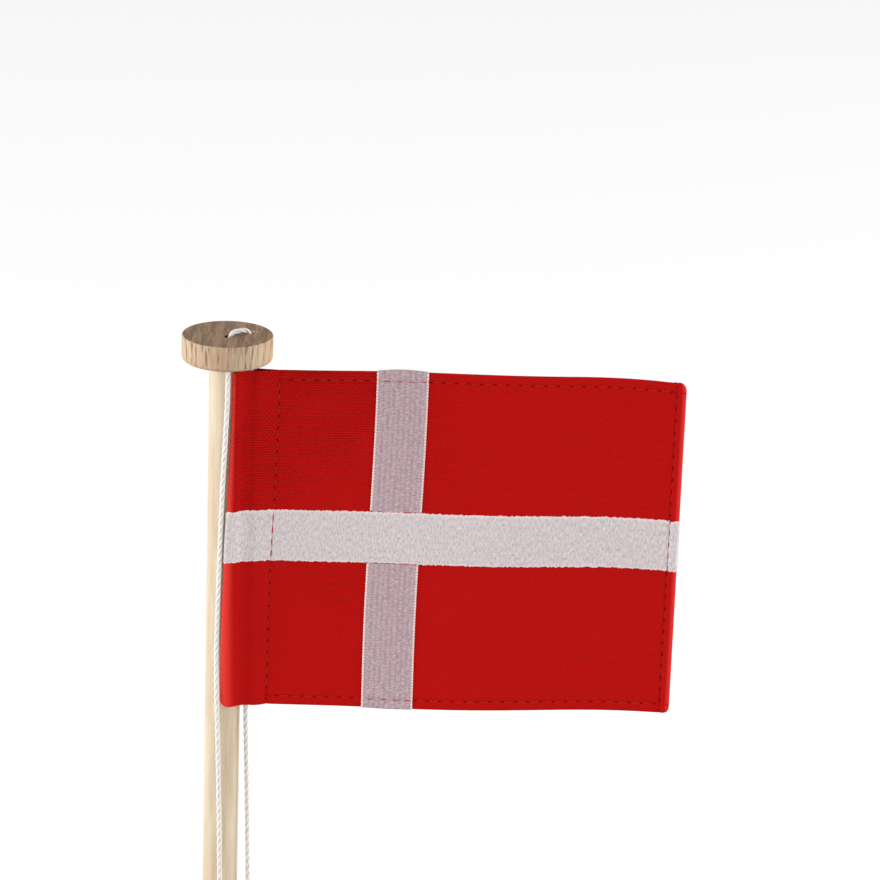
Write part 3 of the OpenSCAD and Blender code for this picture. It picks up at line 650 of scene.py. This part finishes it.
def flag_round(s):
    """The folded flag's skin in plan at the heights s, as x, y and the distance u from the hoist:
    along the front from the fly, round the sleeve's fold, and along the back to the fly's fold."""
    def skin(u, out):
        u = u[:, None] + 0 * s
        return np.stack([flag_x(u, s), flag_y(u, s) + out(u), u], axis=-1)

    front = skin(np.linspace(flag_w - cloth_t, sleeve_w + 0.1 * MM, 420),
                 lambda u: -half_t - front_relief(u, s))
    plan = sleeve_outline(s)
    plan = plan + half_t * left_of(np.gradient(plan, axis=0))
    sleeve = np.concatenate([plan, np.maximum(plan[..., :1] - flag_x(0, s)[None, :, None], 0)], axis=-1)
    back = skin(np.linspace(sleeve_w + 2.9 * MM, flag_w - hem_w - 0.5 * MM, 320), lambda u: half_t)
    hem = skin(np.linspace(flag_w - hem_w + 0.1 * MM, flag_w - cloth_t, 14),
               lambda u: hem_face + puff(flag_w - u))
    turn = np.radians(np.linspace(75, -75, 7))
    fly = skin(flag_w - cloth_t + turn_r * np.cos(turn), lambda u: cloth_t + turn_r * np.sin(turn)[:, None])
    return np.concatenate([front, sleeve, back, hem, fly])


def across_bar():
    """The bar across as a closed ring round the flag. Its face stands bar_t proud, with rounded
    and ragged edges that are sunk in the cloth, and each stitch and needle point shows as an uneven
    place. The UV map holds the way round and the place across, in metres."""
    across = np.linspace(0, 1, 62)
    s = across_top + (across_foot - across_top) * across
    line = flag_round(s)
    line = np.concatenate([line, line[:1]])
    t = path_length(line[..., :2].mean(axis=1))
    at = np.linspace(0, t[-1], round(t[-1] / (0.33 * MM)), endpoint=False)
    line = evenly(line, t, at)
    normal = left_of((np.roll(line, -2, axis=0) - np.roll(line, 2, axis=0))[..., :2])
    way, place = np.meshgrid(at, across * bar_across_w, indexing="ij")
    to_edge = np.minimum(place, bar_across_w - place)
    proud = np.sin(np.pi / 2 * np.clip(to_edge / (0.55 * MM), 0, 1)) ** 0.8
    stitches = uneven(way, place, 0.5 * MM, 1.9 * MM) + 0.6 * uneven(way, place, 0.9 * MM, 0.6 * MM)
    lift = -sunk + (bar_t + sunk) * proud + 0.075 * MM * (stitches - 0.8) * proud
    ragged = (uneven(way, place, 0.45 * MM, 9 * MM) - 0.5) * 0.6 * MM
    z = flag_z(line[..., 2], s) + ragged * np.clip(1 - to_edge / (1.2 * MM), 0, 1) ** 2
    points = np.concatenate([line[..., :2] + normal * lift[..., None], z[..., None]], axis=-1)
    return points, np.stack([way, place], axis=-1)


bar_points, bar_uv = across_bar()
bar_across = grid_piece("embroidered_bar_across", bar_points[:, ::-1], bar_uv[:, ::-1],
                        round_columns=True, round_rows=True)


def embroidery_material(name, stitch_cell, point_cell, light, shade, dark_point):
    """White embroidery thread in close rows: a soft satin that is lighter along each thread and
    greyer where the needle went in. The cells are the size of a stitch and of a needle point in
    metres, drawn a little coarser than the 0.25 mm thread so that they show."""
    white = new_material(name)
    place = add_node(white, "UVMap", uv_map="UVMap")
    stitch_place = add_node(white, "Mapping", {0: place, 3: (1 / stitch_cell[0], 1 / stitch_cell[1], 1)})
    thread = add_node(white, "TexNoise", {0: stitch_place, "Scale": 1, "Detail": 2, "Roughness": 0.6})
    point_place = add_node(white, "Mapping", {0: place, 3: (1 / point_cell[0], 1 / point_cell[1], 1)})
    point = add_node(white, "TexNoise", {0: point_place, "Scale": 1, "Detail": 1})
    point = add_node(white, "MapRange", {0: point, 1: 0.55, 2: 0.7, 3: 0, 4: 0.6})
    tone = add_node(white, "MapRange", {0: thread, 1: 0.32, 2: 0.68})
    tone = add_node(white, "Mix", {0: tone, 6: linear(shade), 7: linear(light)}, data_type="RGBA")
    tone = add_node(white, "Mix", {0: point, 6: tone, 7: linear(dark_point)}, data_type="RGBA")
    split = add_node(white, "SeparateXYZ", {0: place}).node
    return white, split.outputs[0], split.outputs[1], tone, thread


white_fill, _, fill_v, fill_tone, fill_thread = embroidery_material(
    "white_fill_embroidery", (0.5 * MM, 1.8 * MM), (0.4 * MM, 1.2 * MM), "#E1D6D6", "#C1B5B7", "#998D91")
fill_rim = add_node(white_fill, "Math", {0: fill_v, 1: bar_across_w / 2}, operation="PINGPONG")
fill_rim = add_node(white_fill, "MapRange", {0: fill_rim, 1: 0.3 * MM, 2: 1 * MM, 3: 0.7, 4: 0})
fill_tone = add_node(white_fill, "Mix", {0: fill_rim, 6: fill_tone, 7: linear("#EDE4E4")},
                     data_type="RGBA")
finish_material(white_fill, fill_tone, fill_thread, 0.12 * MM, 0.65, Sheen_Weight=0.05)
bar_across.data.materials.append(white_fill)
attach(bar_across, "flag")
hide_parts("cross_bar_across")

# The upright bar is embroidered above and below the bar across, in nine columns of short level
# stitches between two raised edge threads, and is folded with the hems over the top and the foot.
bar_upright_w, bar_from_hoist = 17.2 * MM, 47.5 * MM
edge_thread_w, column_n = 0.7 * MM, 9
column_w = (bar_upright_w - 2 * edge_thread_w) / column_n
tooth_pitch = 1.05 * MM


def upright_stretch(beside, edge, hump_h):
    """One stretch of the upright bar, from the row beside the bar across to the flag's edge, as a
    flattened tube. Its face goes along the front to the edge, round the hem with a hump, and back
    behind, and its sides and ends are sunk in the cloth. Returns the points and the UV map."""
    across = np.linspace(0, 1, 70)
    u = bar_from_hoist + bar_upright_w * across
    way = 1 if edge > beside else -1
    run = abs(edge - beside) * flag_h

    def skin(b, out):
        s = edge - way * b[:, None] / flag_h + 0 * u
        z = flag_z(u, np.clip(s, 0, 1)) - way * np.minimum(b, 0)[:, None]
        return np.stack([flag_y(u, s) + out(s), z], axis=-1)

    turn = np.radians(np.linspace(-75, 75, 9))
    edge_b = cloth_t - turn_r * np.cos(turn)
    front_n = 150
    stretches = ((np.linspace(run, cloth_t, front_n), lambda s: -half_t - front_relief(u, s)),
                 (edge_b, lambda s: cloth_t + turn_r * np.sin(turn)[:, None]),
                 (np.linspace(cloth_t, hem_w - 0.1 * MM, 14),
                  lambda s: hem_face + puff(np.abs(edge - s) * flag_h)),
                 (np.linspace(hem_w + 0.5 * MM, run, 130), lambda s: half_t))
    line = np.concatenate([skin(b, out) for b, out in stretches])
    from_edge = np.concatenate([b for b, _ in stretches])
    t = path_length(line.mean(axis=1))
    edge_at = t[front_n + len(turn) // 2]
    at = np.linspace(0, t[-1], 330)
    line, from_edge = evenly(line, t, at), evenly(from_edge, t, at)
    tangent = np.gradient(line, axis=0)
    tangent[1:-1] = tangent[:-2] + tangent[1:-1] + tangent[2:]
    normal = -way * left_of(tangent)

    path, place = np.meshgrid(at, across * bar_upright_w, indexing="ij")
    to_side = np.minimum(place, bar_upright_w - place)
    to_end = np.minimum(path, at[-1] - path)
    proud = np.sin(np.pi / 2 * np.clip(to_side / (0.4 * MM), 0, 1)) ** 0.8
    proud = proud * np.sin(np.pi / 2 * np.clip(to_end / (0.5 * MM), 0, 1)) ** 0.8
    column = np.abs(np.sin(np.pi * (place - edge_thread_w) / column_w)) ** 0.5
    column = column + 0.5 * uneven(path, place, 0.8 * MM, 0.9 * MM)
    tooth = 0.5 + 0.5 * np.cos(2 * np.pi * (path - 0.7 * to_side) / tooth_pitch)
    rim = near(to_side - 0.45 * MM, 0.35 * MM)
    hump = hump_h * near(path - edge_at, 2.2 * MM) * (1 - (2 * across - 1) ** 2)
    lift = -sunk + (bar_t + sunk) * proud + 0.07 * MM * (column - 1.2) * proud * (1 - rim)
    lift = lift + 0.16 * MM * rim * (0.4 + 0.6 * tooth) * proud + hump
    x = flag_x(u, np.clip(edge - way * from_edge / flag_h, 0, 1)[:, None])
    x = x + np.sign(across - 0.5) * 0.12 * MM * tooth * rim
    points = np.concatenate([x[..., None], line + normal * lift[..., None]], axis=-1)
    return points[:, ::-way], np.stack([place, path], axis=-1)[:, ::-way]


stretches = [upright_stretch(across_top, 0.0, 0.6 * MM), upright_stretch(across_foot, 1.0, 0.2 * MM)]
bar_upright = grid_piece("embroidered_bar_upright", np.stack([p for p, _ in stretches]),
                         np.stack([uv for _, uv in stretches]), round_columns=True, capped=True)

# In the upright bar the threads lie level. Its colours are greyer than the bar across's: partly the red
# cloth showing through, partly painted shade for the weaker sheen of level threads. Its columns meet in
# darker lines, here and there the red cloth shows through, and its edge threads are cream.
white_satin, satin_u, satin_v, satin_tone, satin_thread = embroidery_material(
    "white_column_embroidery", (1.6 * MM, 0.5 * MM), (0.5 * MM, 0.55 * MM), "#CCB5BA", "#A68C93", "#7E5A66")
satin_node = partial(add_node, white_satin)
meet = satin_node("Math", {0: satin_u, 1: edge_thread_w}, operation="SUBTRACT")
meet = satin_node("Math", {0: meet, 1: column_w / 2}, operation="PINGPONG")
satin_place = satin_node("CombineXYZ", {0: satin_u, 1: satin_v})
meet_place = satin_node("Mapping", {0: satin_place, 3: (450, 380, 1)})
meet_width = satin_node("TexNoise", {0: meet_place, "Scale": 1, "Detail": 2})
meet_width = satin_node("MapRange", {0: meet_width, 1: 0.38, 2: 0.68, 3: 0.03 * MM, 4: 0.75 * MM})
meet = satin_node("Math", {0: meet, 1: meet_width}, operation="DIVIDE")
meet = satin_node("MapRange", {0: meet, 1: 0.3, 2: 1.1, 3: 0.6, 4: 0}, interpolation_type="SMOOTHSTEP")
satin_tone = satin_node("Mix", {0: meet, 6: satin_tone, 7: linear("#9A838B")}, data_type="RGBA")
fleck_place = satin_node("Mapping", {0: satin_place, 3: (900, 1500, 1)})
red_fleck = satin_node("TexNoise", {0: fleck_place, "Scale": 1, "Detail": 1})
red_fleck = satin_node("MapRange", {0: red_fleck, 1: 0.64, 2: 0.74, 3: 0, 4: 0.6})
satin_tone = satin_node("Mix", {0: red_fleck, 6: satin_tone, 7: linear("#8E4A5C")}, data_type="RGBA")
side = satin_node("Math", {0: satin_u, 1: bar_upright_w / 2}, operation="PINGPONG")
side = satin_node("MapRange", {0: side, 1: 0.5 * MM, 2: 0.85 * MM, 3: 1, 4: 0})
tooth_tone = satin_node("Math", {0: satin_v, 1: 2 * math.pi / tooth_pitch}, operation="MULTIPLY")
tooth_tone = satin_node("Math", {0: tooth_tone}, operation="COSINE")
tooth_tone = satin_node("MapRange", {0: tooth_tone, 1: -1, 2: 0.4})
tooth_tone = satin_node("Mix", {0: tooth_tone, 6: linear("#D3B4AE"), 7: linear("#F3E0DB")},
                        data_type="RGBA")
satin_tone = satin_node("Mix", {0: side, 6: satin_tone, 7: tooth_tone}, data_type="RGBA")
finish_material(white_satin, satin_tone, satin_thread, 0.12 * MM, 0.65, Sheen_Weight=0.05)
bar_upright.data.materials.append(white_satin)
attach(bar_upright, "flag")
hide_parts("cross_bar_upright")

# The hems and the sleeve are sewn with red cotton thread in a straight lockstitch, which looks the
# same on both sides: short arched threads, one from each needle hole to the next.
thread_r, stitch_l = 0.17 * MM, 3.3 * MM
hole_deep, arch_h = 0.22 * MM, 0.34 * MM


def sewn_row(u, s, side, upright, behind):
    """Stitches at the places u and s on the front (-1) or the back (1), lying level or upright. Each
    thread arches over half a sine from hole to hole, thinner and sunk in at both ends. behind is
    how far the back lies behind the cloth's place, and a hem's back has the front's relief too."""
    t, ring = np.linspace(0, 1, 8), np.radians([300, 240, 180, 120, 60, 0])
    step = (t - 0.5) * stitch_l
    su = u[:, None] + (0 if upright else step)
    ss = s[:, None] + (step / flag_h if upright else 0)
    over_across = np.abs(s - (across_top + across_foot) / 2) < bar_across_w / 2 / flag_h
    over_upright = np.abs(u - bar_from_hoist - bar_upright_w / 2) < bar_upright_w / 2
    out = half_t + bar_t * (over_across | over_upright)[:, None]
    relief = front_relief(su, ss)
    out = out + relief if side < 0 else out + behind + relief * (behind > cloth_t)
    arch = np.sin(np.pi * t) ** 0.7
    y = flag_y(su, ss) + side * (out - hole_deep + arch_h * arch)
    centre = np.stack([flag_x(su, ss), y, flag_z(su, ss)], axis=-1)
    r = thread_r * (0.55 + 0.45 * arch)[None, :, None]
    wide, high = r * np.cos(ring), 0.8 * r * np.sin(ring)
    section = [wide, high, 0 * wide] if upright else [0 * wide, high, wide]
    return centre[:, :, None] + np.stack(section, axis=-1)


def spaced(first, last):
    """The middles of whole stitches from first to last."""
    return first + (np.arange(int((last - first) / stitch_pitch)) + 0.5) * stitch_pitch


level_u = spaced(first_u, flag_w - stitch_inset)
fly_s = spaced(first_v, flag_h - first_v) / flag_h
seam_s = spaced(stitch_inset, flag_h - stitch_inset) / flag_h
inset_s = stitch_inset / flag_h
hem_rows, seam_rows = [], []
for face in (-1, 1):
    for level_s in (inset_s, 1 - inset_s):
        hem_rows.append(sewn_row(level_u, level_s + 0 * level_u, face, False, 2 * cloth_t))
    hem_rows.append(sewn_row(flag_w - stitch_inset + 0 * fly_s, fly_s, face, True, 2 * cloth_t))
    seam_rows.append(sewn_row(seam_u + 0 * seam_s, seam_s, face, True, cloth_t))
hem_stitches = grid_piece("hem_stitches", np.concatenate(hem_rows), round_columns=True, capped=True)
sleeve_stitches = grid_piece("sleeve_stitches", np.concatenate(seam_rows), round_columns=True,
                             capped=True)

# Twisted sewing cotton: the cloth's own red, with plies 0.3 mm apart.
red_thread = new_material("twisted_red_sewing_cotton")
thread_place = add_node(red_thread, "TexCoord").node.outputs["Object"]
ply = add_node(red_thread, "TexNoise", {0: thread_place, "Scale": 3300, "Detail": 1})
thread_tone = add_node(red_thread, "Mix", {0: ply, 6: linear("#A81614"), 7: linear("#CC302A")},
                       data_type="RGBA")
finish_material(red_thread, thread_tone, ply, 0.05 * MM, 0.8, Specular_IOR_Level=0.1)
for piece, node in ((hem_stitches, "hem_thread"), (sleeve_stitches, "sleeve_thread")):
    piece.data.materials.append(red_thread)
    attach(piece, "flag")
    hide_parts(node)

# A plain white studio: a large matt floor, a soft lamp on each side, the left one stronger, one more
# on each side further back, and an even pale surround.
corner = np.linspace(-8, 8, 3)
floor_points = np.stack([*np.meshgrid(corner, corner), np.zeros((3, 3))], axis=-1)
floor = grid_piece("studio_floor", floor_points)
white_floor = new_material("matt_white_studio_floor")
matt = add_node(white_floor, "BsdfDiffuse", {0: linear("#E4E4E4")})
glow = add_node(white_floor, "Emission", {0: linear("#FFFFFF"), 1: 1.35})
shown = add_node(white_floor, "MixShader", {0: 0.5, 1: matt, 2: glow})
surround = bpy.data.worlds.new("pale_surround")
surround.use_nodes = True
surround.node_tree.nodes.clear()
soft_light = add_node(surround, "Background", {0: linear("#FFFFFF"), 1: 0.48})
white_wall = add_node(surround, "Background", {0: linear("#FFFFFF"), 1: 1})
for setting, lighting, looks, end in ((white_floor, matt, shown, "OutputMaterial"),
                                      (surround, soft_light, white_wall, "OutputWorld")):
    ray = add_node(setting, "LightPath").node.outputs
    seen = add_node(setting, "Math", {0: ray["Is Camera Ray"], 1: ray["Is Glossy Ray"]},
                    operation="MAXIMUM")
    seen = add_node(setting, "Math", {0: seen, 1: ray["Is Transmission Ray"]}, operation="MAXIMUM")
    add_node(setting, end, {0: add_node(setting, "MixShader", {0: seen, 1: lighting, 2: looks})})
floor.data.materials.append(white_floor)
bpy.context.scene.world = surround


def soft_lamp(name, place, power, size):
    """A square soft lamp that faces the flag near its middle."""
    aimed_at = [0.05, 0, 0.32]
    lamp = bpy.data.objects.new(name, bpy.data.lights.new(name, "AREA"))
    lamp.data.shape, lamp.data.size, lamp.data.energy = "SQUARE", size, power
    back = np.array(place) - aimed_at
    back /= np.linalg.norm(back)
    side = np.cross([0, 0, 1], back)
    side /= np.linalg.norm(side)
    lamp.matrix_world = placed(side, np.cross(back, side), back, place)
    bpy.context.scene.collection.objects.link(lamp)


soft_lamp("left_lamp", (-1.5, -0.45, 0.75), 25, 0.9)
soft_lamp("right_lamp", (1.5, -0.28, 0.7), 18, 0.9)
soft_lamp("left_back_lamp", (-2.4, 1.6, 0.9), 14, 1)
soft_lamp("right_back_lamp", (2.4, 1.6, 0.9), 20, 1)
bpy.context.scene.view_settings.view_transform = "Standard"

bpy.context.view_layer.update()
